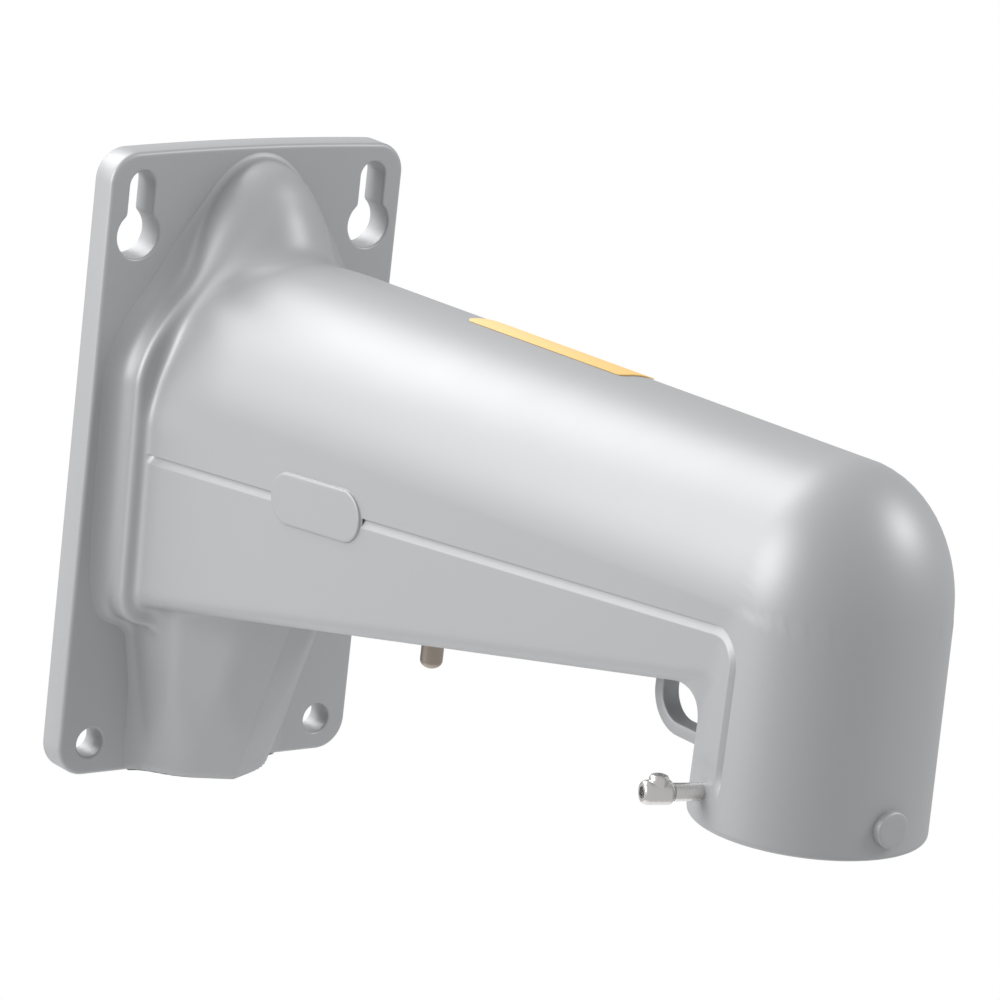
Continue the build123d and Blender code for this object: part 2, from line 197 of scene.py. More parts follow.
def ramp(value, low, high):
    """0 below low, 1 above high, and a smooth step between them; it falls where low is the larger number."""
    share = np.clip((value - low) / (high - low), 0, 1)
    return share * share * (3 - 2 * share)


def arm_share(y):
    """0 at the face of the pedestal and 1 at the axis of the tube."""
    return (y - PED_Y) / (TUBE_Y - PED_Y)


def blend(a, b, share):
    return a + (b - a) * share


def arm_foot(y):
    """Height of the arm's flat floor."""
    return blend(FOOT_ROOT, FOOT_TIP, arm_share(y))


# %% [markdown]
# The arm's section is a half ellipse on two leaning sides over a flat floor. It narrows towards the tube, and
# next to the pedestal it is drawn in a little, which leaves the dark crease round the pedestal.

# %% Field of the arm
CREASE, CREASE_LENGTH = 0.8, 9.0
NECK, NECK_LENGTH = 6.0, 34.0
ARM_CORNER = 4.7


def leaning_side(x, z, half, foot_half, spring, foot):
    """Distance from the side wall that leans in from half at the spring to foot_half at the foot."""
    lean = np.arctan2(half - foot_half, spring - foot)
    return (x - half) * np.cos(lean) - (z - spring) * np.sin(lean)


def oval(x, z, half, rise, power=2.0):
    """Distance along the ray from the outline |x/half|^power + |z/rise|^power = 1."""
    size = (np.abs(x / half) ** power + np.abs(z / rise) ** power) ** (1 / power)
    return np.hypot(x, z) * (1 - 1 / np.maximum(size, 0.05))


def drawn_in(y, length):
    """1 at the face of the pedestal, falling to 0 over a length of the arm."""
    return np.clip(1 - (PED_Y - y) / length, 0, 1) ** 2


def arm_field(x, y, z, wall=0.0):
    """Half ellipse over leaning sides and a flat floor, drawn in by wall, crease and neck."""
    share = arm_share(y)
    neck = CREASE * drawn_in(y, CREASE_LENGTH)
    neck = neck + NECK * drawn_in(y, NECK_LENGTH) * ramp(z, 106.0, 132.0)
    half = blend(HALF_ROOT, HALF_TIP, share) - neck - wall
    foot_half = blend(FOOT_HALF_ROOT, FOOT_HALF_TIP, share) - neck - wall
    spring = blend(SPRING_ROOT, SPRING_TIP, share)
    foot = arm_foot(y) + wall
    side = leaning_side(x, z, half, foot_half, spring, foot)
    arch = oval(x, z - spring, half, ARCH_RISE - wall - 0.5 * neck)
    walls = np.where(z > spring, arch, side)
    return soft_max(walls, (foot - z) * 0.98, ARM_CORNER)


# %% [markdown]
# The arm ends in a dome over the tube. The tube is slightly wider at its open foot, where the edge is
# rounded.

# %% Field of the elbow dome and the tube
TUBE_TAPER, DOME_INSET, TUBE_EDGE = 0.7, 0.9, 1.8


def elbow_field(x, y, z, wall=0.0):
    """Half an ellipsoid above SPRING_TIP and a tube below, both drawn in by the wall."""
    across, up = np.hypot(x, y - TUBE_Y), np.maximum(z - SPRING_TIP, 0)
    dome = oval(across, up, TUBE_R - DOME_INSET - wall, ARCH_RISE - wall)
    radius = TUBE_R - TUBE_TAPER * np.clip((z - TUBE_FOOT) / (SPRING_TIP - TUBE_FOOT), 0, 1)
    pipe = soft_max(across - radius + wall, TUBE_FOOT - z, TUBE_EDGE)
    return np.where(z > SPRING_TIP, dome, pipe)


# %% [markdown]
# The pedestal is a raised pad of the same bell outline as the arm, a few millimetres larger, with a rounded
# rim. On its crown sits a lobe like a nose that reaches forward over the root of the arm.

# %% Fields of the pedestal and its lobe
LOBE_Y, LOBE_Z = -10.0, 140.0
LOBE_HALF, LOBE_REACH, LOBE_RISE = 21.5, 25.0, 37.9
PED_HALF, PED_FOOT_HALF, PED_FOOT = 41.0, 39.6, 46.5
PED_POWER, PED_CORNER, NOSE_JOIN = 1.7, 10.5, 8.0


def lobe_field(x, y, z, wall=0.0):
    """A body with round ends: an oval across and an oval forward of LOBE_Y."""
    ahead = np.maximum(LOBE_Y - y, 0)
    across = np.abs(x / (LOBE_HALF - wall)) ** 2 + np.abs((z - LOBE_Z) / (LOBE_RISE - wall)) ** 2
    size = (across + (ahead / (LOBE_REACH - wall)) ** 2) ** 0.5
    distance = np.sqrt(x * x + (z - LOBE_Z) ** 2 + ahead**2)
    return distance * (1 - 1 / np.maximum(size, 0.05))


def pedestal_field(x, y, z, wall=0.0):
    """The bell outline joined with the lobe's, up to the face at PED_Y with its rounded rim."""
    half, foot_half, foot = PED_HALF - wall, PED_FOOT_HALF - wall, PED_FOOT + wall
    side = leaning_side(x, z, half, foot_half, SPRING_ROOT, foot)
    arch = oval(x, z - SPRING_ROOT, half, ARCH_RISE - wall, PED_POWER)
    walls = np.where(z > SPRING_ROOT, arch, side)
    nose = oval(x, np.maximum(z - LOBE_Z, 0), LOBE_HALF - wall, LOBE_RISE - wall)
    outline = soft_min(walls, nose, NOSE_JOIN)
    outline = soft_max(outline, foot - z, PED_CORNER)
    rim = 2.4 + 8.0 * ramp(z, 146.0, 170.0)
    return soft_max(outline, PED_Y - y, rim)


# %% [markdown]
# Below the arm a duct for the cable stands out of the plate. Soft ridges part its flanks, slanting faces and
# front. It grows wider and deeper on its way up into the arm, and its ridges soften towards the foot.

# %% Field of the duct
DUCT_TOP, SOFT_FOOT = 66.0, 30.0


def near_foot(z):
    """1 at the foot of the plate, falling to 0 at the height SOFT_FOOT."""
    return ramp(SOFT_FOOT - z, 0.0, SOFT_FOOT)


def outside_line(x, depth, first, second):
    """Distance outside the line from the first to the second point of a section, in x and depth."""
    rise, run = second[1] - first[1], first[0] - second[0]
    return ((x - first[0]) * rise + (depth - first[1]) * run) / np.hypot(rise, run)


def duct_field(x, y, z, wall=0.0):
    """Each corner of the section is (x, depth) and moves out with the height; soft maxima join the faces."""
    depth = np.maximum(-y, PLATE_T)
    edge = (21.0 + 0.2 * z, PLATE_T)
    ridge = (17.2 + 0.18 * z, 17.4 + 0.18 * z)
    brow = (9.8 + 0.07 * z, 22.9 + 0.33 * z)
    bow = (0.0, 25.4 + 0.4 * z)
    low = near_foot(z)
    flank = outside_line(x, depth, edge, ridge)
    slant = outside_line(x, depth, ridge, brow)
    front = soft_max(slant, outside_line(x, depth, brow, bow), 1.0 + 9.0 * low)
    body = soft_max(flank, front, 1.2 + 5.0 * low) + wall - 1.5 * low
    return np.maximum(body, z - DUCT_TOP)


# %% [markdown]
# All the forms are joined here. The reach of each soft minimum is the size of the fillet: small in the crease
# of the pedestal, large where the duct and the lobe flow out. The skin is cut level at FOOT_CUT, just above
# the rim that closes the foot of the duct.

# %% Field of the whole skin
FOOT_CUT, FOOT_EDGE = 0.04, 0.8
LOBE_JOIN, DUCT_JOIN = 8.0, 4.0
NEAR_TUBE = -200.0


def skin_field(x, y, z):
    """All forms joined by soft minima, with ramps that widen or narrow a fillet from place to place."""
    x = np.abs(x)
    arm = np.maximum(arm_field(x, y, z), TUBE_Y - y)
    under_bend = 0.3 + 11.0 * ramp(z, 121.0, 104.0) * ramp(x, 31.0, 22.0)
    crease = 3.6 + 4.0 * ramp(z, 112.0, 136.0)
    on_plate = 2.4 + 2.4 * ramp(z, 40.0, 60.0) + 2.4 * near_foot(z)
    on_plate = on_plate + 2.2 * ramp(x, 16.0, 30.0) * ramp(z, 42.0, 74.0)
    on_plate = on_plate - 2.4 * ramp(z, 150.0, 172.0)
    body = soft_min(arm, elbow_field(x, y, z), under_bend)
    body = soft_min(body, pedestal_field(x, y, z), crease)
    body = soft_min(body, lobe_field(x, y, z), LOBE_JOIN)
    body = soft_min(body, duct_field(x, y, z), DUCT_JOIN)
    body = soft_min(body, -PLATE_T - y, on_plate)
    return np.where(y < NEAR_TUBE, body, soft_max(body, FOOT_CUT - z, FOOT_EDGE))


# %% [markdown]
# To turn the field into a mesh, rays are sent out in a fan from a spine that runs along the arm, round the
# elbow and down the tube. All rays are solved together, as whole arrays.

# %% The spine and its stations
PIVOT = np.array([-237.0, 91.0])
NEAR, FAR, FAR_AT_TUBE = 2.0, 160.0, 60.0


def arm_centre(y):
    return blend(100.0, 128.0, arm_share(y))


def spine(stations_y, turns, drops, pivot=PIVOT):
    """Centres, and the outward direction in the section plane, of upright, fanned and level sections."""
    along = np.stack([stations_y, arm_centre(stations_y)], -1)
    start = along[-1, 1] - pivot[1]
    reach = blend(start, pivot[0] - TUBE_Y, turns / (np.pi / 2))
    fan_out = np.stack([-np.sin(turns), np.cos(turns)], -1)
    fan = pivot + reach[:, None] * fan_out
    down = np.stack([np.full_like(drops, TUBE_Y), drops], -1)
    centres = np.concatenate([along, fan, down])
    upward, forward = np.tile([0.0, 1.0], (len(along), 1)), np.tile([-1.0, 0.0], (len(down), 1))
    return centres, np.concatenate([upward, fan_out, forward])


def exits(inside, low, high, rounds=26):
    """Lengths at which rays leave a form, by halving the gap between low and high again and again."""
    for _ in range(rounds):
        middle = (low + high) / 2
        within = inside(middle)
        low, high = np.where(within, middle, low), np.where(within, high, middle)
    return low


def ray_points(centres, outs, angles, length):
    """The x, y and z at a length along each ray: angle 0 is outward and pi is towards the pivot."""
    out = length * np.cos(angles)
    y = centres[:, None, 0] + out * outs[:, None, 0]
    z = centres[:, None, 1] + out * outs[:, None, 1]
    return length * np.sin(angles), y, z


def cast(field, centres, outs, angles, rounds=26, pivot=PIVOT):
    """Length of each ray from its centre to the surface. Beyond the arm no ray passes the pivot, because the
    arm's root lies behind it."""
    on_arm = centres[:, :1] > pivot[0] + 0.01
    clearance = np.einsum("sk,sk->s", centres - pivot, outs)[:, None]
    reach = np.where(on_arm, FAR, clearance - 0.3)
    low = np.full(angles.shape, NEAR)
    high = np.minimum(reach / np.maximum(-np.cos(angles), 0.01), FAR)
    high = np.where(on_arm, high, np.minimum(high, FAR_AT_TUBE))
    return exits(lambda length: field(*ray_points(centres, outs, angles, length)) < 0, low, high, rounds)


# %% [markdown]
# A groove runs along each side of the arm and bends down beside the tube. The grid has its own lines on the
# edges and the bottom of the groove, so first its path is laid out, and then the place where each section
# crosses it is looked up.

# %% Path of the groove
GROOVE_BELOW, GROOVE_ABOVE, GROOVE_DEPTH = 1.9, 0.75, 1.2
SLOPE = math.radians(5.07)
GROOVE_START = (-21.5, 97.9)
GROOVE_END, GROOVE_BEND, PATH_NEAR = 80.0, 9.0, 45.0


def groove_path():
    """The sloping line, a bend of 9 mm and the line down the side of the tube, as points in y and z."""
    corner_z = GROOVE_START[1] + (GROOVE_START[0] - TUBE_Y) * math.tan(SLOPE)
    turn = math.pi / 2 + SLOPE
    cut = GROOVE_BEND * math.tan(turn / 2)
    begin = np.array([TUBE_Y + cut * math.cos(SLOPE), corner_z - cut * math.sin(SLOPE)])
    centre = begin + GROOVE_BEND * np.array([-math.sin(SLOPE), -math.cos(SLOPE)])
    angle = np.linspace(0, turn, 30)
    bend = centre + GROOVE_BEND * np.stack([np.sin(SLOPE - angle), np.cos(SLOPE - angle)], -1)
    line = np.linspace([0.0, GROOVE_START[1] + GROOVE_START[0] * math.tan(SLOPE)], begin, 400)
    down = np.linspace(bend[-1], [TUBE_Y, TUBE_FOOT - 1], 60)
    return np.concatenate([line[:-1], bend, down[1:]])


def crossings(path, centres, outs):
    """How far outward from each centre the path crosses its section, and the slant of the crossing."""
    forward = np.stack([-outs[:, 1], outs[:, 0]], -1)
    ahead = np.einsum("pk,sk->sp", path, forward) - np.einsum("sk,sk->s", centres, forward)[:, None]
    near = np.einsum("pk,sk->sp", path, outs) - np.einsum("sk,sk->s", centres, outs)[:, None]
    ahead = np.where(np.abs(near) > PATH_NEAR, -1e3, ahead)
    first = np.clip(np.argmax(ahead > 0, axis=1), 1, len(path) - 1)
    rows = np.arange(len(centres))
    a, b = ahead[rows, first - 1], ahead[rows, first]
    share = np.clip(-a / np.where(np.abs(b - a) < 1e-9, 1, b - a), 0, 1)
    offset = near[rows, first - 1] + share * (near[rows, first] - near[rows, first - 1])
    slant = np.abs(np.einsum("sk,sk->s", unit(path[first] - path[first - 1]), forward))
    return offset, np.clip(slant, 0.3, 1)


path = groove_path()
print("groove path", path[0].round(1), path[-1].round(1))

# %% [markdown]
# The lines of the grid are spread evenly above the groove, across it and below it, on both sides. The
# stations stand close together where the skin curves fast.

# %% Grid of the outer skin
def spread(pieces):
    """Joins runs of (start, end, count) into one rising or falling row of numbers."""
    return np.concatenate([np.linspace(a, b, n, endpoint=False) for a, b, n in pieces])


def coarse_sections(field, centres, outs, angles, pivot=PIVOT):
    """Angles, radii and the length along the outline, for a first look at every section."""
    angles = np.tile(angles, (len(centres), 1))
    radii = cast(field, centres, outs, angles, 16, pivot)
    x, out = radii * np.sin(angles), radii * np.cos(angles)
    length = np.zeros_like(x)
    length[:, 1:] = np.cumsum(np.hypot(np.diff(x, axis=1), np.diff(out, axis=1)), axis=1)
    return angles, radii, length


def grid_angles(centres, outs, bands, above=70, below=64):
    """Angles of the grid lines of each section, with lines at the given distances from the groove."""
    coarse, radii, length = coarse_sections(skin_field, centres, outs, np.linspace(0, np.pi, 361))
    out = radii * np.cos(coarse)
    offset, slant = crossings(path, centres, outs)
    rows = []
    for s in range(len(centres)):
        marks = np.interp(-(offset[s] + bands[::-1] / slant[s]), -out[s], length[s])
        top = np.linspace(0, marks[0], above, endpoint=False)
        low = np.linspace(marks[-1], length[s, -1], below + 1)[1:]
        lines = np.concatenate([top, marks, low])
        rows.append(np.interp(lines, length[s], coarse[s]))
    right = np.array(rows)
    return np.concatenate([right, -right[:, -2:0:-1]], axis=1)


stations_y = spread([(-8.84, -12, 14), (-12, -26, 44), (-26, -60, 40), (-60, -210, 50), (-210, -237, 14)])
stations_y = np.append(stations_y, PIVOT[0])
turns = np.linspace(0, np.pi / 2, 46)[1:-1]
rim_drops = TUBE_FOOT + 2 * np.linspace(1, 0.02, 14) ** 1.6
drops = np.concatenate([np.linspace(PIVOT[1], 70.2, 18), rim_drops])
centres, outs = spine(stations_y, turns, drops)
lower_bands = [-4.2, -3.2, -2.5, -2.1, -1.9, -1.7, -1.3, -0.8, -0.3]
upper_bands = [0.1, 0.4, 0.58, 0.75, 0.87, 1.2, 1.9, 3, 4]
angles = grid_angles(centres, outs, np.array(lower_bands + upper_bands))
radii = cast(skin_field, centres, outs, angles)
skin = np.stack(ray_points(centres, outs, angles, radii), -1)
print("skin grid", skin.shape)

# %% [markdown]
# Each point near the groove's line moves inward along the surface's normal. The groove's lower side is a long
# slope and its upper side a steep wall, which gives a dark line over a bright one. Around the lock screws the
# tube has a small flat land, so points that stand out past its plane are moved back onto it.

# %% Groove and lands
def normals(points):
    """Outward normals of a grid whose rows are rings, from the neighbours of each point."""
    ring = np.roll(points, -1, axis=1) - np.roll(points, 1, axis=1)
    inward = np.cross(ring, np.gradient(points, axis=0))
    return -inward / np.maximum(np.linalg.norm(inward, axis=-1, keepdims=True), 1e-9)


def path_distance(points, chunk=4000):
    """Distance of each point from the groove's path, seen from the side, positive above and outside it."""
    flat = points[..., 1:].reshape(-1, 2)
    a, b = path[:-1], path[1:]
    run = b - a
    best = np.full(len(flat), 1e9)
    for start in range(0, len(flat), chunk):
        part = flat[start : start + chunk, None]
        share = np.clip(((part - a) * run).sum(-1) / (run * run).sum(-1), 0, 1)
        away = part - a - share[..., None] * run
        gap = np.linalg.norm(away, axis=-1)
        nearest = gap.argmin(1)
        pick = np.arange(len(nearest)), nearest
        side = run[nearest, 1] * away[pick][:, 0] - run[nearest, 0] * away[pick][:, 1]
        best[start : start + chunk] = gap[pick] * np.where(side < 0, -1, 1)
    return best.reshape(points.shape[:-1])


def press_groove(points):
    """Moves the groove's points inward: a long slope, then a steep wall, fading out at both ends."""
    gap = path_distance(points)
    on_side = ramp(np.abs(points[..., 0]), 20.0, 24.0)
    begins = ramp(-points[..., 1], 19.5, 22.5)
    ends = ramp(points[..., 2], GROOVE_END - 3.0, GROOVE_END + 5.0)
    slope = np.minimum((gap + GROOVE_BELOW) / (GROOVE_BELOW + 0.4), (GROOVE_ABOVE - gap) / 0.35)
    depth = GROOVE_DEPTH * np.clip(slope, 0, 1) * on_side * begins * ends
    return points - normals(points) * depth[..., None]


LOCK_ANGLE = math.radians(106)
LOCK_Z = TUBE_FOOT + 8.6
LAND_DEPTH, LAND_Y = 0.75, -230.0


def press_lands(points):
    """Moves points past the plane of each land back onto it, up to a soft upper edge."""
    for side in (-1, 1):
        outward = np.array([side * math.sin(LOCK_ANGLE), -math.cos(LOCK_ANGLE), 0])
        past = (points - [0, TUBE_Y, 0]) @ outward - (TUBE_R - LAND_DEPTH)
        share = ramp(-points[..., 2], -86.0, -83.5) * (points[..., 1] < LAND_Y)
        points = points - outward * (np.maximum(past, 0) * share)[..., None]
    return points


skin = press_lands(press_groove(skin))
print("groove and lands pressed")

# %% [markdown]
# The skin is now a mesh. A collar lets its wall end sink into the plate, and three rings turn the foot of the
# tube inward to the thread. The foot of the duct is open, so the faces of the skin's level floor are left out
# there, and the rim that is made further down closes the edge.

# %% The outer skin as an object
def without(faces, verts, test):
    """The faces of which not every corner passes the test on the points."""
    marked = test(verts.reshape(-1, 3))
    faces = np.array(faces)
    return faces[~marked[faces].all(axis=1)].tolist()


def casting_piece(name, verts, faces, smooth=True):
    """A painted piece that stands where the CAD's casting stands."""
    piece = make_object(name, verts, faces, paint, smooth)
    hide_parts("casting")
    return piece


def in_opening(points):
    """True on the level floor of the skin, inside the opening at the duct's foot."""
    inside = duct_field(np.abs(points[:, 0]), points[:, 1], 0.0, OPENING_INSET) < 0
    return inside & (points[:, 2] < FLOOR_LEVEL)


RIM_RADIUS = 23.4
RIM_RADII = (28.6, 26.0, RIM_RADIUS)
COLLAR, OPENING_INSET, FLOOR_LEVEL = 1.4, 1.2, 0.3
around = unit((skin[-1] - [0, TUBE_Y, 0]) * [1, 1, 0])
rim = np.array([[0, TUBE_Y, TUBE_FOOT] + around * radius for radius in RIM_RADII])
collar = skin[:1] + [0, COLLAR, 0]
skin = np.concatenate([collar, skin, rim])
faces = np.array(grid_faces(*skin.shape[:2]))[:, ::-1]
faces = without(faces, skin, in_opening)
skin_piece = casting_piece("casting_skin", skin, faces)
skin_piece.data.set_sharp_from_angle(angle=math.radians(50))
print("skin faces", len(faces))

# %% [markdown]
# The plate has round corners and a slightly arched top edge. Its outline is written once and can be drawn in
# by an inset, so that the rounded front edge is a row of ever smaller outlines.

# %% Outlines of the plate and its holes
PLATE_HALF, CORNER, TOP_RISE, EDGE_ROUND = 50.0, 9.0, 1.2, 1.2
HOLE_X, KEYHOLE_Z, LOWER_Z, HOLE_R = 39.6, 159.2, 9.6, 4.4
BOWL_R, SLOT_HALF, SLOT_TOP, SHOULDER_R = 6.9, 4.1, 177.6, 2.0
MOUTH_HALF = 16.6


def arc(x, z, radius, start, end, count):
    """Points on an arc about (x, z) from one angle to another, in degrees."""
    angle = np.radians(np.linspace(start, end, count))
    return np.stack([x + radius * np.cos(angle), z + radius * np.sin(angle)], -1)


def plate_outline(inset):
    """Outline of the plate, anticlockwise from the front, with its sides moved inward by the inset."""
    radius = CORNER - inset
    x = PLATE_HALF - CORNER
    high = PLATE_H + TOP_RISE * (1 - (x / PLATE_HALF) ** 2) - CORNER
    tilt = math.degrees(2 * TOP_RISE * x / PLATE_HALF**2)
    across = np.linspace(x - 1, 1 - x, 30)
    crown = np.stack([across, PLATE_H - inset + TOP_RISE * (1 - (across / PLATE_HALF) ** 2)], -1)
    right = [arc(x, CORNER, radius, -90, 0, 14), arc(x, high, radius, 0, 90 - tilt, 14)]
    left = [arc(-x, high, radius, 90 + tilt, 180, 14), arc(-x, CORNER, radius, 180, 270, 14)]
    foot = np.array([[-MOUTH_HALF, inset], [MOUTH_HALF, inset]])
    return np.concatenate([*right, crown, *left, foot])


def keyhole_outline(side, grow=0.0):
    """Round hole under an upright slot with a round end, with blended shoulders."""
    aside = SLOT_HALF + SHOULDER_R
    lift = math.sqrt((BOWL_R + SHOULDER_R) ** 2 - aside**2)
    shoulder = math.degrees(math.atan2(lift, aside))
    bowl = arc(0, 0, BOWL_R + grow, shoulder, -180 - shoulder, 44)
    left = arc(-aside, lift, SHOULDER_R - grow, -shoulder, 0, 6)[1:]
    slot = arc(0, SLOT_TOP - SLOT_HALF - KEYHOLE_Z, SLOT_HALF + grow, 180, 0, 16)
    right = arc(aside, lift, SHOULDER_R - grow, 180, 180 + shoulder, 6)
    outline = np.concatenate([bowl, left, slot, right[:-1]])[::-1]
    return outline + [side * HOLE_X, KEYHOLE_Z]


def round_outline(side, grow=0.0):
    return arc(side * HOLE_X, LOWER_Z, HOLE_R + grow, 0, 352.5, 48)


def upright(outline, y):
    """Points of an outline in x and z, stood up at y."""
    return np.stack([outline[:, 0], np.full(len(outline), y), outline[:, 1]], -1)


print("plate outline", len(plate_outline(0)), "points")

# %% [markdown]
# The wall side of the bracket is open: behind the plate one sees the hollow of the pedestal above and the
# duct below. Its field is made of the same forms, drawn in by the walls of the casting.

# %% Inside of the casting
WALL, DUCT_WALL, DOME_WALL = 4.0, 3.6, 6.2
BORE_R, BORE_TOP, ROOM_FOOT = 21.0, 109.4, 112.4
FLOOR_LINES, WALL_LINES, EDGE_SHARE = 7, 146, 0.04
INNER_PIVOT = np.array([-237.0, 95.0])


def inner_elbow(x, y, z):
    """Room under the dome, over the narrower bore that leads down to the thread."""
    across, up = np.hypot(x, y - TUBE_Y), np.maximum(z - SPRING_TIP, 0)
    dome = oval(across, up, TUBE_R - TUBE_TAPER - DOME_WALL, ARCH_RISE - DOME_WALL)
    pipe = across - (BORE_R + 3.0 * ramp(z, BORE_TOP, ROOM_FOOT))
    return np.where(z > SPRING_TIP, dome, pipe)


def inner_field(x, y, z):
    """The hollow: pedestal, arm, elbow and duct drawn in by their walls, joined with small fillets."""
    x = np.abs(x)
    base = pedestal_field(x, y, z, WALL)
    base = soft_max(base, -15.2 - y, 2.0)
    arm = soft_max(np.maximum(arm_field(x, y, z, WALL), TUBE_Y - y), y + 14.0, 2.0)
    body = soft_min(base, arm, 2.0)
    body = soft_min(body, inner_elbow(x, y, z), 2.5)
    body = soft_min(body, duct_field(x, y, z, DUCT_WALL), 2.0)
    return np.where(y < NEAR_TUBE, body, np.maximum(body, -z))


def wall_grid():
    """Grid of the hollow, from the wall face along the arm and round the elbow to the thread. A line on each
    side follows the edge of the open foot, and FLOOR_LINES lie past it."""
    along = np.append(spread([(0, -20, 22), (-20, -62, 30), (-62, -237, 34)]), INNER_PIVOT[0])
    bends = np.linspace(0, np.pi / 2, 24)[1:]
    centres, outs = spine(along, bends, np.empty(0), INNER_PIVOT)
    look = np.linspace(-np.pi, np.pi, 801)
    coarse, radii, length = coarse_sections(inner_field, centres, outs, look, INNER_PIVOT)
    open_foot = ray_points(centres, outs, coarse, radii)[2] < 0.02
    rows = []
    for run, angle, foot in zip(length, coarse, open_foot):
        clear = np.where(~foot)[0]
        start = max(run[clear[0]], EDGE_SHARE * run[-1])
        end = min(run[clear[-1]], (1 - EDGE_SHARE) * run[-1])
        floor_start = np.linspace(0, start, FLOOR_LINES + 1)[:-1]
        floor_end = np.linspace(end, run[-1], FLOOR_LINES + 1)[1:-1]
        marks = np.concatenate([floor_start, np.linspace(start, end, WALL_LINES), floor_end])
        rows.append(np.interp(marks, run, angle))
    angles = np.array(rows)
    radii = cast(inner_field, centres, outs, angles, pivot=INNER_PIVOT)
    grid = np.stack(ray_points(centres, outs, angles, radii), -1)
    column = np.arange(grid.shape[1])
    on_edge = (column == FLOOR_LINES) | (column == FLOOR_LINES + WALL_LINES - 1)
    grid[..., 2] = np.where(on_edge & (grid[..., 2] < 1.2), 0.0, grid[..., 2])
    return grid


hollow = wall_grid()
faces = grid_faces(*hollow.shape[:2])
faces = without(faces, hollow, lambda p: (p[:, 2] < 0.02) & (p[:, 1] > -60))
casting_piece("casting_inside", hollow, faces)
print("inside", hollow.shape)

# %% [markdown]
# The faces of the plate are filled between its outline and the holes. A triangulation keeps every edge, and
# triangles whose middle lies in a hole are dropped.

# %% Filling a flat face with holes
def contains(outline, points):
    """True for each point inside the outline: a ray from it crosses the outline an odd number of times."""
    a, b = outline, np.roll(outline, -1, axis=0)
    x, z = points[:, :1], points[:, 1:]
    level = (a[:, 1] > z) != (b[:, 1] > z)
    rise = np.where(b[:, 1] == a[:, 1], 1e-9, b[:, 1] - a[:, 1])
    cross = a[:, 0] + (z - a[:, 1]) / rise * (b[:, 0] - a[:, 0])
    return (level & (cross > x)).sum(1) % 2 == 1


def filled(outline, holes):
    """Points and triangles of a flat face with holes, all in two dimensions."""
    loops = [outline, *holes]
    starts = np.cumsum([0] + [len(loop) for loop in loops])
    edges = []
    for start, loop in zip(starts, loops):
        edges += [(start + i, start + (i + 1) % len(loop)) for i in range(len(loop))]
    found = delaunay_2d_cdt([Vector(p) for p in np.concatenate(loops)], edges, [], 0, 1e-6, False)
    points, triangles = np.array(found[0]), np.array(found[2])
    middle = points[triangles].mean(axis=1)
    keep = contains(outline, middle)
    for hole in holes:
        keep &= ~contains(hole, middle)
    return points, triangles[keep]


def join(parts):
    """One list of points and one of faces from several (points, faces) pairs."""
    verts, faces, start = [], [], 0
    for points, corners in parts:
        verts.append(points.reshape(-1, 3))
        faces += [[int(c) + start for c in face] for face in corners]
        start += len(verts[-1])
    return np.concatenate(verts), faces


def wall_rings(outlines, depths):
    """A wall of quads that joins outlines, each stood up at its depth."""
    rings = np.array([upright(outline, y) for outline, y in zip(outlines, depths)])
    return rings, grid_faces(*rings.shape[:2])


print("edges of a keyhole", len(keyhole_outline(1)))

# %% [markdown]
# The plate has its sides, the rounded front edge, the slightly round rims of its four holes and the two
# faces. A narrow flat band inside the round edge keeps its shading off the flat face.

# %% The wall plate
HOLE_RIM = [(0.9, 0.0), (0.6, 0.0), (0.45, 0.03), (0.2, 0.2), (0.03, 0.45), (0.0, 0.7), (0.0, PLATE_T)]
THROAT_HALF, THROAT_DROP = 17.2, 2.5
THROAT_SCALE, THROAT_LIFT = [0.93, 0.95], [0, 5.0]


def hole_parts(outline, side):
    """Rounded front rim and wall of one hole, from steps of growth and depth below the front face."""
    grows, depths = zip(*HOLE_RIM)
    return wall_rings([outline(side, grow) for grow in grows], [depth - PLATE_T for depth in depths])


turn = np.linspace(0, np.pi / 2, 6)
insets = np.concatenate([[0.35, 0.1, 0.0], EDGE_ROUND * (1 - np.cos(turn)), [EDGE_ROUND + 0.5]])
depths = np.concatenate([[0.0, -0.1, -0.35], -(PLATE_T - EDGE_ROUND) - EDGE_ROUND * np.sin(turn), [-PLATE_T]])
sides, side_faces = wall_rings([plate_outline(i) for i in insets], depths)
side_faces = without(side_faces, sides, lambda p: (np.abs(p[:, 0]) < MOUTH_HALF + 0.1) & (p[:, 2] < 2))
mouth = hollow[0][:, [0, 2]]
throat = skin[0][:, [0, 2]]
low_throat = np.stack([np.clip(throat[:, 0], -THROAT_HALF, THROAT_HALF), throat[:, 1] - THROAT_DROP], -1)
throat = np.where(throat[:, 1:] < 3.0, low_throat, throat * THROAT_SCALE + THROAT_LIFT)
holes = [(outline, side) for side in (-1, 1) for outline in (keyhole_outline, round_outline)]
front_holes = [outline(side, HOLE_RIM[0][0]) for outline, side in holes] + [throat]
back_holes = [outline(side) for outline, side in holes] + [mouth - [0, 0.02]]
front, front_faces = filled(plate_outline(insets[-1]), front_holes)
back, back_faces = filled(plate_outline(insets[0]), back_holes)
parts = [(sides, side_faces), (upright(front, -PLATE_T), front_faces)]
parts += [(upright(back, 0.0), back_faces[:, ::-1])]
parts += [hole_parts(outline, side) for outline, side in holes]
plate_piece = casting_piece("casting_plate", *join(parts))
print("plate", len(plate_piece.data.polygons), "faces")

# %% [markdown]
# Smooth shading needs shared corners, and sharp edges where faces meet at a real angle. This helper also
# deletes points that no face uses, and turns the faces outward where that is asked for.

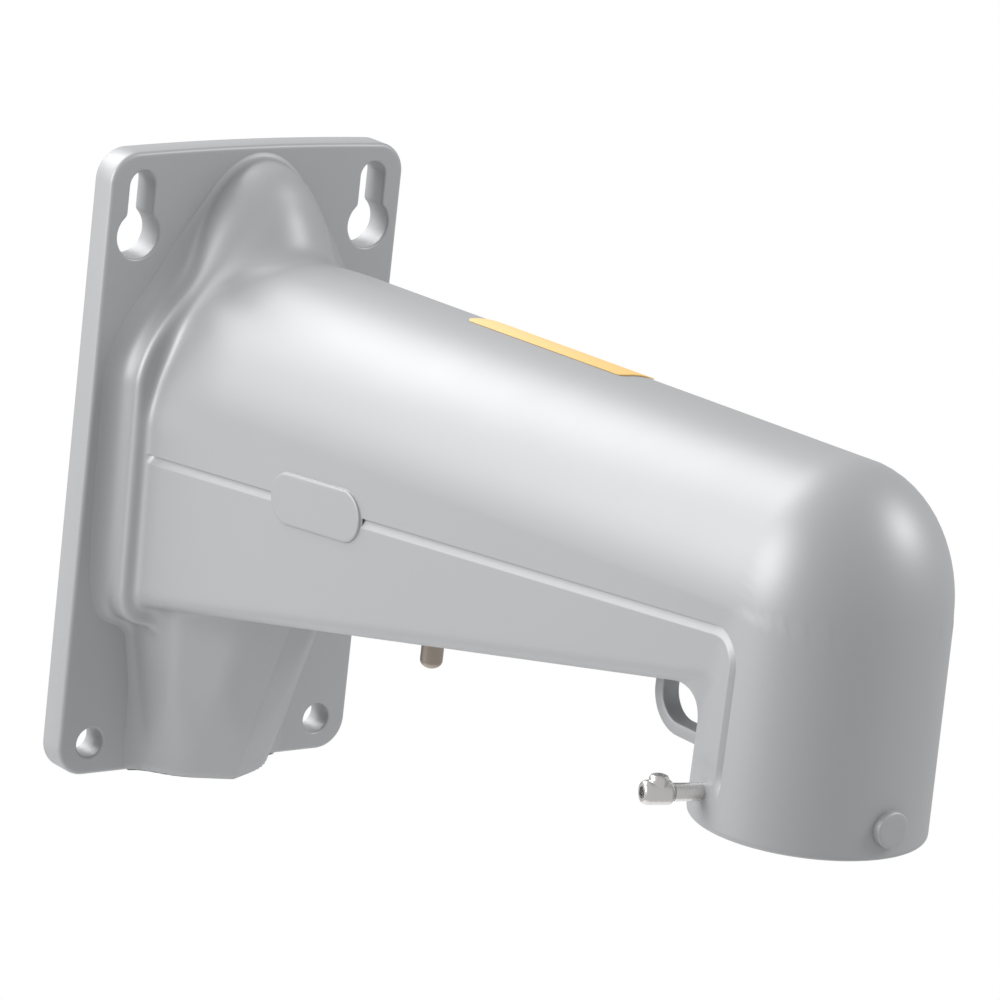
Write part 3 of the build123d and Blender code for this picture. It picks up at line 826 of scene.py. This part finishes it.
# %% Merging and sharp edges
def tidy(piece, angle=35.0, outward=False):
    """Merges points closer than a hundredth of a millimetre and marks the sharp edges."""
    work = bmesh.new()
    work.from_mesh(piece.data)
    bmesh.ops.remove_doubles(work, verts=work.verts, dist=1e-5)
    loose = [v for v in work.verts if not v.link_faces]
    bmesh.ops.delete(work, geom=loose, context="VERTS")
    if outward:
        bmesh.ops.recalc_face_normals(work, faces=work.faces)
    work.to_mesh(piece.data)
    work.free()
    piece.data.set_sharp_from_angle(angle=math.radians(angle))
    return piece


tidy(plate_piece)
print("merged plate", len(plate_piece.data.vertices), "points")

# %% [markdown]
# At the foot of the duct the wall of the casting shows as a narrow rim, level with the foot of the plate. It
# is filled between two outlines that are found with level rays: the outer one drawn in to meet the rounded
# foot of the skin, the inner one drawn in to cover the edge of the hollow.

# %% Rim at the foot of the duct
FAN_Y, GATE_Y, RIM_Z = -8.0, -7.2, 0.01


def level_outline(field, height, angles, shrink):
    """Points in x and y where level rays from (0, FAN_Y) leave a field at a height, less the shrink."""
    sine, cosine = np.sin(angles), np.cos(angles)

    def inside(length):
        return field(length * sine, FAN_Y - length * cosine, height) < 0

    reach = exits(inside, np.zeros_like(angles), np.full_like(angles, 60.0)) - shrink
    return np.stack([reach * sine, FAN_Y - reach * cosine], -1)


fan = np.radians(np.linspace(-88, 88, 90))
outer = level_outline(skin_field, 1.2, fan, 1.0)
inner = level_outline(inner_field, 0.01, fan, 0.8)
right_end = [[outer[-1, 0], GATE_Y], [MOUTH_HALF, GATE_Y]]
left_end = [[-MOUTH_HALF, GATE_Y], [outer[0, 0], GATE_Y]]
gate = np.concatenate([outer, right_end, inner[::-1], left_end])
flat, flat_faces = filled(gate, [])
flat = np.stack([flat[:, 0], flat[:, 1], np.full(len(flat), RIM_Z)], -1)
casting_piece("duct_foot_rim", flat, flat_faces[:, ::-1], smooth=False)
print("duct rim", len(flat_faces), "faces")

# %% [markdown]
# The open foot of the tube takes the camera's neck, so it has an internal pipe thread. A thread is a helix:
# the radius rises and falls with the height, and a full turn shifts the wave by one pitch. It fades out at
# both ends. The machined thread is bare metal with fine turning marks.

# %% Thread in the tube
PITCH, CREST, THREAD_DEPTH = 2.21, 22.4, 1.35

bare, at, shader = new_material("machined_aluminium", Metallic=1.0)
feed(shader, "Base Color", colour_mix(at, noise(at, 30.0), (0.56, 0.56, 0.57), (0.66, 0.66, 0.67)))
feed(shader, "Roughness", noise(at, 900.0) * 0.2 + 0.24)
feed(shader, "Normal", bump(at, 1500.0, 0.2, 0.0002))


def thread_surface():
    """Radius = crest + depth * wave(height / pitch - turn), between a chamfer and the narrower bore."""
    heights = np.concatenate([[95.0, 93.4, 92.1], np.linspace(91.9, 69.1, 150), [68.9, 68.0]])
    base = np.interp(heights, [68.0, 68.95, 92.1, 93.4], [RIM_RADIUS, CREST, CREST, BORE_R])
    fade = ramp(heights, 91.8, 90.0) * ramp(heights, 68.8, 70.0)
    turn = np.linspace(0, 1, 96, endpoint=False)
    wave = 1 - np.abs(2 * ((heights[:, None] / PITCH - turn) % 1) - 1)
    radius = base[:, None] + THREAD_DEPTH * np.clip(1.35 * wave - 0.18, 0, 1) * fade[:, None]
    x = radius * np.sin(2 * np.pi * turn)
    y = TUBE_Y - radius * np.cos(2 * np.pi * turn)
    return np.stack([x, y, np.broadcast_to(heights[:, None], x.shape)], -1)


threads = thread_surface()
make_object("tube_thread", threads, grid_faces(*threads.shape[:2]), bare)
print("thread", threads.shape)

# %% [markdown]
# On the left side the groove passes under a raised pad with round ends. On the real bracket a name stands on
# it; here it stays bare. It has its own axes, because it lies on the leaning side of the arm.

# %% Bare pad on the left side
PAD_Y, PAD_LENGTH, PAD_H = -99.4, 40.0, 14.4
PAD_Z = GROOVE_START[1] + (GROOVE_START[0] - PAD_Y) * math.tan(SLOPE)


def left_side(y, z):
    """Point on the flat left side of the arm."""
    share = arm_share(y)
    half = blend(HALF_ROOT, HALF_TIP, share)
    foot_half = blend(FOOT_HALF_ROOT, FOOT_HALF_TIP, share)
    up = (z - arm_foot(y)) / (blend(SPRING_ROOT, SPRING_TIP, share) - arm_foot(y))
    return np.array([-blend(foot_half, half, up), y, z])


def pad_outline(grow, count=24):
    """Outline with round ends in the pad's own two axes."""
    half, radius = (PAD_LENGTH - PAD_H) / 2, PAD_H / 2 + grow
    return np.concatenate([arc(half, 0, radius, -90, 90, count), arc(-half, 0, radius, 90, 270, count)])


def pad_points():
    """Each outline of the pad set out along its axes and lifted by its height over the side of the arm."""
    centre = left_side(PAD_Y, PAD_Z)
    along = unit(left_side(PAD_Y - 10, PAD_Z + 10 * math.tan(SLOPE)) - centre)
    above = left_side(PAD_Y, PAD_Z + 10) - centre
    above = unit(above - along * (above @ along))
    out = np.cross(along, above)
    out = out if out[0] < 0 else -out
    rings = [(0.5, -0.3), (0.22, -0.02), (0.08, 0.1), (0.02, 0.3), (-0.03, 0.48), (-0.18, 0.63), (-0.45, 0.7)]
    rings += [(-0.9, 0.7), (-3.5, 0.7), (-7.0, 0.7)]
    outlines = np.array([pad_outline(grow) for grow, _ in rings])
    lift = np.array([height for _, height in rings])[:, None, None]
    return centre + outlines[..., :1] * along + outlines[..., 1:] * above + lift * out


pad = pad_points()
pad_faces = grid_faces(*pad.shape[:2]) + [list(range(pad[:-1].size // 3, pad.size // 3))]
tidy(casting_piece("bare_pad", pad, pad_faces), 60.0, outward=True)
print("pad", pad.shape)

# %% [markdown]
# Low on the front of the tube sits a small round boss, and behind the tube a flat strap makes a loop for
# the camera's safety cord. Both were cast with the body and have its paint.

# %% Boss and loop
def turned_about(profile, origin, axis, across, around=48):
    """A turned surface about an axis; across is the direction of its first column."""
    axis, across = np.array(axis, float), np.array(across, float)
    other = np.cross(axis, across)
    points = turned_points(profile, around)
    return np.array(origin) + points[..., :1] * across + points[..., 1:2] * other + points[..., 2:] * axis


def capped_piece(name, points, material, angle=40.0):
    """A grid of rings as an object, with both ends closed."""
    rows, columns = points.shape[:2]
    ends = [list(range(columns)), list(range((rows - 1) * columns, rows * columns))]
    return tidy(make_object(name, points, grid_faces(rows, columns) + ends, material), angle, outward=True)


boss_profile = [(4.85, 29.4), (4.82, 31.0), (4.8, 32.35), (4.72, 32.62), (4.5, 32.82), (4.2, 32.9)]
boss_profile += [(3.0, 32.9), (0.5, 32.9)]
boss = turned_about(boss_profile, (0, TUBE_Y, LOCK_Z), (0, -1, 0), (1, 0, 0))
capped_piece("tube_boss", boss, paint, 60.0)


def strap_points():
    """A rounded rectangle of 5.6 by 3.6 mm carried along a line, a quarter bend of 9.2 mm and a line."""
    bend = arc(-223.0, 86.2, 9.2, 0, -90, 16)
    down = np.stack([np.full(7, -213.8), np.linspace(95.2, 87.0, 7)], -1)
    level = np.stack([np.linspace(-225.0, -248.0, 12), np.full(12, 77.0)], -1)
    course = np.concatenate([down, bend, level])
    tangent = unit(np.gradient(course, axis=0))
    side = np.stack([-tangent[:, 1], tangent[:, 0]], -1)
    corners = ((1, -1, -90), (1, 1, 0), (-1, 1, 90), (-1, -1, 180))
    section = np.concatenate([arc(x * 2.3, z * 1.3, 0.5, start, start + 90, 4) for x, z, start in corners])
    flare = 1 + 0.5 * np.clip(1 - np.abs(course[:, 1] - 93.5) / 3, 0, 1) ** 2
    flare += 0.5 * np.clip(1 - np.abs(course[:, 0] + 245) / 3, 0, 1) ** 2
    x = section[:, 0] * flare[:, None]
    yz = course[:, None] + side[:, None] * section[None, :, 1:] * flare[:, None, None]
    return np.concatenate([x[..., None], yz], -1)


capped_piece("cord_loop", strap_points(), paint, 50.0)
print("boss and loop made")

# %% [markdown]
# Two stainless lock screws pinch the camera's thread from the sides. Each has a shank with a fine thread and
# a round head with a hexagon socket in its end. A small domed stud stands on the head.

# %% Stainless steel and the lock screws
steel, at, shader = new_material("stainless_steel", Metallic=1.0)
feed(shader, "Base Color", colour_mix(at, noise(at, 40.0), (0.60, 0.59, 0.58), (0.70, 0.69, 0.68)))
feed(shader, "Roughness", noise(at, 700.0) * 0.14 + 0.2)
feed(shader, "Normal", bump(at, 2200.0, 0.12, 0.0001))
SCREW_SEAT = TUBE_R - 0.6
HEAD_START, HEAD_END = SCREW_SEAT + 8.2, SCREW_SEAT + 16.2
SCREW_PITCH, SCREW_R, COLUMNS = 0.8, 2.35, 48
HEAD_BACK = [(2.0, -0.5), (2.05, 0.0), (2.7, 0.0), (3.0, 0.25), (3.15, 0.6), (3.2, 1.1)]
HEAD_FRONT = [(3.2, -1.7), (3.13, -1.1), (2.95, -0.6), (2.65, -0.22), (2.25, -0.04), (1.95, 0.0)]
SOCKET = [(1.5, -0.05), (1.5, -0.4), (1.5, -2.6), (0.1, -3.1)]
STUD_PROFILE = [(2.6, 1.0), (2.6, 3.4), (2.5, 3.9), (2.2, 4.4), (1.7, 4.6), (0.2, 4.7)]


def screw_points(side):
    """Rows of rings from the end of the shank to the bottom of the hexagon socket."""
    shank = np.linspace(22.5, SCREW_SEAT - 1.2, 60)
    shank = np.concatenate([shank, np.linspace(SCREW_SEAT - 1.0, HEAD_START - 0.6, 6)])
    turn = np.linspace(0, 1, COLUMNS, endpoint=False)
    wave = np.abs(2 * ((shank[:, None] / SCREW_PITCH - turn) % 1) - 1)
    cut = 0.3 * ramp(shank, SCREW_SEAT - 1.0, SCREW_SEAT - 2.5)[:, None]
    radius = [np.full((1, COLUMNS), 0.1), SCREW_R - cut * np.clip(1.3 * wave - 0.15, 0, 1)]
    radius += [np.full((1, COLUMNS), size) for size, _ in HEAD_BACK + HEAD_FRONT]
    flat = 1 / np.cos((2 * np.pi * turn) % (np.pi / 3) - np.pi / 6)
    radius += [size * (flat if size > 1 else np.ones(COLUMNS))[None] for size, _ in SOCKET]
    radius = np.concatenate(radius)
    back = [HEAD_START + rise for _, rise in HEAD_BACK]
    front = [HEAD_END + rise for _, rise in HEAD_FRONT + SOCKET]
    height = np.concatenate([[22.4], shank, back, front])
    axis = np.array([side * math.sin(LOCK_ANGLE), -math.cos(LOCK_ANGLE), 0])
    other = np.cross(axis, [0, 0, 1.0])
    up = (radius * np.cos(2 * np.pi * turn))[..., None] * np.array([0, 0, 1.0])
    across = (radius * np.sin(2 * np.pi * turn))[..., None] * other
    return np.array([0, TUBE_Y, LOCK_Z]) + height[:, None, None] * axis + up + across, axis


for side, label in ((-1, "left"), (1, "right")):
    points, axis = screw_points(side)
    screw = capped_piece("steel_lock_screw_" + label, points, steel, 30.0)
    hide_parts("lock_screw_" + label)
    origin = np.array([0, TUBE_Y, LOCK_Z]) + axis * (HEAD_START + 3.6)
    stud = turned_about(STUD_PROFILE, origin, (0, 0, 1), (1, 0, 0), 32)
    capped_piece("lock_screw_stud_" + label, stud, steel)
    print("screw", label, points.shape)

# %% [markdown]
# Under the arm a round pin sticks out with a domed end. Its steel is given a darker, warmer base colour than
# the screws': painted shade, because the pin faces down into shadow.

# %% Pin
dark, at, shader = new_material("pin_steel_painted_shade", Metallic=1.0)
# Darker, warmer base colour: painted shade on the downward-facing pin.
feed(shader, "Base Color", colour_mix(at, noise(at, 60.0), (0.30, 0.26, 0.22), (0.42, 0.37, 0.32)))
feed(shader, "Roughness", noise(at, 800.0) * 0.16 + 0.3)
feed(shader, "Normal", bump(at, 2000.0, 0.15, 0.0001))
PIN_Y, PIN_R, PIN_LENGTH, PIN_DOME = -112.4, 3.15, 12.0, 2.4
pin_top = arm_foot(PIN_Y)
angle = np.linspace(0, np.pi / 2, 10)[:-1]
tip = [(PIN_R * math.cos(a), pin_top - 9.6 - PIN_DOME * math.sin(a)) for a in angle]
pin_profile = [(PIN_R, pin_top + 2.5), (PIN_R, pin_top - 9.2), *tip, (0.1, pin_top - PIN_LENGTH)]
pin = turned_about(pin_profile, (0, PIN_Y, 0), (0, 0, 1), (1, 0, 0))
pin_piece = capped_piece("steel_pin", pin, dark)
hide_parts("pin")
print("pin tip at", round(pin_top - PIN_LENGTH, 2))

# %% [markdown]
# A long sticker with round corners lies over the crown of the arm. It is printed in a soft blend from pale
# yellow near the wall to orange at the other end, on satin paper. The CAD node has the right shape and
# stays.

# %% Sticker
film, at, shader = new_material("printed_film")
outward = at.node("ShaderNodeSeparateXYZ", None, 1, Vector=at)
share = at.node("ShaderNodeMapRange", Value=outward, i1=-0.112, i2=-0.185)
feed(shader, "Base Color", colour_mix(at, share, (0.86, 0.63, 0.27), (0.80, 0.50, 0.15)))
feed(shader, "Roughness", noise(at, 500.0) * 0.1 + 0.4)
feed(shader, "Normal", bump(at, 1200.0, 0.06, 0.0001))
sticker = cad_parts["sticker"]
sticker.data.materials.clear()
sticker.data.materials.append(film)

# %% [markdown]
# The camera stands where the photograph was taken: found by fitting the corners of the plate and the tube.
# It looks from the front left and a little from above, through a long lens.

# %% Camera
lens = bpy.data.cameras.new("photo_camera")
lens.lens = 212.284
lens.sensor_width = lens.sensor_height = 36.0
lens.clip_end = 10.0
camera = bpy.data.objects.new("photo_camera", lens)
right = Vector((0.79909, -0.59133, 0.10858)).normalized()
up = Vector((0.06711, 0.26722, 0.96130))
up = (up - right * up.dot(right)).normalized()
camera.matrix_world = Matrix.Translation((-0.95089, -1.34578, 0.42601)) @ Matrix(
    (right, up, right.cross(up))
).transposed().to_4x4()
bpy.context.scene.collection.objects.link(camera)
bpy.context.scene.camera = camera
print("camera at", [round(v, 3) for v in camera.location])

# %% [markdown]
# Studio light: large soft boxes and an even grey surround. The background of the photograph is pure white, so
# rays from the camera see white, while the surround lights the object, and shows in it, at a plain level. A
# pale floor lies well below, because a wall bracket stands on nothing.

# %% Light, surround and floor
SURROUND, FLOOR_Z = 0.66, -0.45


def soft_box(name, place, target, size, power):
    """A square lamp of a size in metres and a power in watts at a place, turned to a target."""
    lamp = bpy.data.lights.new(name, "AREA")
    lamp.size = size
    lamp.energy = power
    holder = bpy.data.objects.new(name, lamp)
    aim = (Vector(target) - Vector(place)).to_track_quat("-Z", "Y")
    holder.matrix_world = Matrix.LocRotScale(Vector(place), aim, None)
    bpy.context.scene.collection.objects.link(holder)


soft_box("top_box", (-0.3, 0.85, 0.8), (0, -0.15, 0.03), 0.8, 11)
soft_box("left_box", (-1.15, 0.3, 0.35), (0, -0.2, 0), 0.7, 12)
soft_box("right_box", (0.75, -0.85, 0.8), (0, -0.2, 0), 0.5, 7)
world = bpy.data.worlds.new("studio")
bpy.context.scene.world = world
world.use_nodes = True
tree = world.node_tree
tree.nodes.clear()
rays = tree.nodes.new("ShaderNodeLightPath")
seen = Sum(tree, rays.outputs["Is Camera Ray"])
level = seen * (1.0 - SURROUND) + SURROUND
backdrop = seen.node("ShaderNodeBackground", Color=(1, 1, 1, 1), Strength=level)
output = tree.nodes.new("ShaderNodeOutputWorld")
tree.links.new(backdrop.socket, output.inputs[0])

floor_mesh = bpy.data.meshes.new("studio_floor")
floor_ring = turned_points([(0.02, FLOOR_Z), (0.2, FLOOR_Z), (0.42, FLOOR_Z)], 64).reshape(-1, 3)
floor_mesh.from_pydata(floor_ring, [], grid_faces(3, 64) + [list(range(64))])
floor = bpy.data.objects.new("studio_floor", floor_mesh)
bpy.context.scene.collection.objects.link(floor)
pale, at, shader = new_material("pale_floor", Roughness=0.9)
feed(shader, "Base Color", colour_mix(at, noise(at, 3.0), (0.80, 0.80, 0.80), (0.84, 0.84, 0.84)))
floor_mesh.materials.append(pale)
bpy.context.scene.view_settings.view_transform = "Standard"
print("world", world.name)
